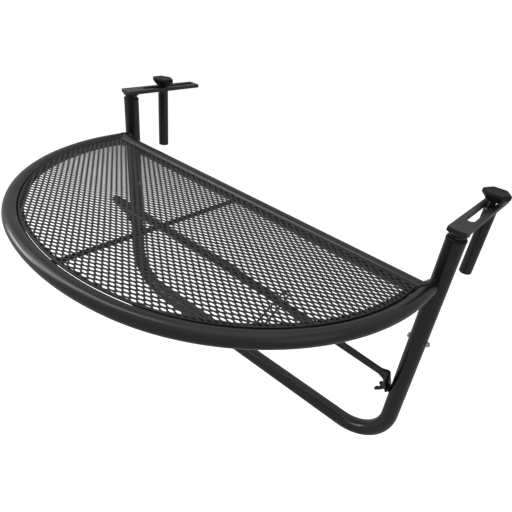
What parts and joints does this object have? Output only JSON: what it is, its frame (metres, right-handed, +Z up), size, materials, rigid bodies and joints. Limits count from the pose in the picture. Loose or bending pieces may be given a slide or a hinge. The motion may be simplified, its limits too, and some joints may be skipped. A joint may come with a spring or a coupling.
{
  "type": "balcony railing bar table",
  "caption": "Half-round expanded-metal table top on a bent tube frame that hangs on a railing by two slotted clamp plates, with a folding tube strut below",
  "frame": {"origin": "midway between the axes of the two uprights, at the height of the undersides of the clamp plates, which is the top of the railing", "axes": "+X along the railing, to the right as seen from the user's side; -Y out over the user's side, where the table top is; +Z up"},
  "size_m": [0.6566, 0.4851, 0.4243],
  "materials": {
    "frame_paint": "satin black powder coat",
    "knob_plastic": "fine-grained black",
    "zinc_steel": "bright zinc plate",
    "dark_zinc": "black zinc, slightly glossy"
  },
  "bodies": {
    "frame": {"u_frame": "frame_paint", "table_rim": "frame_paint", "back_tube": "frame_paint", "mesh_border": "frame_paint", "mesh_panel": "frame_paint", "centre_rod": "frame_paint", "stop_wire": "frame_paint", "height_bolts": "zinc_steel", "height_nuts": "zinc_steel", "pivot_studs": "dark_zinc", "pivot_spacers": "dark_zinc", "post_bushing_left": "knob_plastic", "post_bushing_right": "knob_plastic"},
    "strut_body": {"strut": "frame_paint", "strut_washers": "dark_zinc"},
    "left_stem": {"stem_left": "frame_paint", "slot_plate_left": "frame_paint"},
    "right_stem": {"stem_right": "frame_paint", "slot_plate_right": "frame_paint"},
    "left_clamp": {"rear_tube_left": "frame_paint", "tube_insert_left": "zinc_steel"},
    "right_clamp": {"rear_tube_right": "frame_paint", "tube_insert_right": "zinc_steel"},
    "left_knob": {"knob_left": "knob_plastic", "clamp_bolt_left": "dark_zinc"},
    "right_knob": {"knob_right": "knob_plastic", "clamp_bolt_right": "dark_zinc"},
    "left_wing_nut": {"wing_nut_left": "dark_zinc"},
    "right_wing_nut": {"wing_nut_right": "dark_zinc"}
  },
  "joints": [
    {"name": "left_height", "type": "slide", "parent": "frame", "child": "left_stem", "axis": [0, 0, 1], "range_m": [0, 0.08]},
    {"name": "right_height", "type": "slide", "parent": "frame", "child": "right_stem", "axis": [0, 0, 1], "range_m": [0, 0.08]},
    {"name": "left_clamp_slide", "type": "slide", "parent": "left_stem", "child": "left_clamp", "axis": [0, 1, 0], "range_m": [-0.0401, 0.0658]},
    {"name": "right_clamp_slide", "type": "slide", "parent": "right_stem", "child": "right_clamp", "axis": [0, 1, 0], "range_m": [-0.0833, 0.0226]},
    {"name": "left_knob_turn", "type": "hinge", "parent": "left_clamp", "child": "left_knob", "pos_m": [-0.31, 0.0699, 0.014], "axis": [0, 0, 1], "continuous": true},
    {"name": "right_knob_turn", "type": "hinge", "parent": "right_clamp", "child": "right_knob", "pos_m": [0.31, 0.1131, 0.014], "axis": [0, 0, 1], "continuous": true},
    {"name": "strut_fold", "type": "hinge", "parent": "frame", "child": "strut_body", "pos_m": [0, 0, -0.272], "axis": [1, 0, 0], "range_deg": [0, 125]},
    {"name": "left_wing_nut_turn", "type": "hinge", "parent": "frame", "child": "left_wing_nut", "pos_m": [-0.2863, 0, -0.272], "axis": [1, 0, 0], "continuous": true},
    {"name": "right_wing_nut_turn", "type": "hinge", "parent": "frame", "child": "right_wing_nut", "pos_m": [0.2863, 0, -0.272], "axis": [1, 0, 0], "continuous": true}
  ]
}
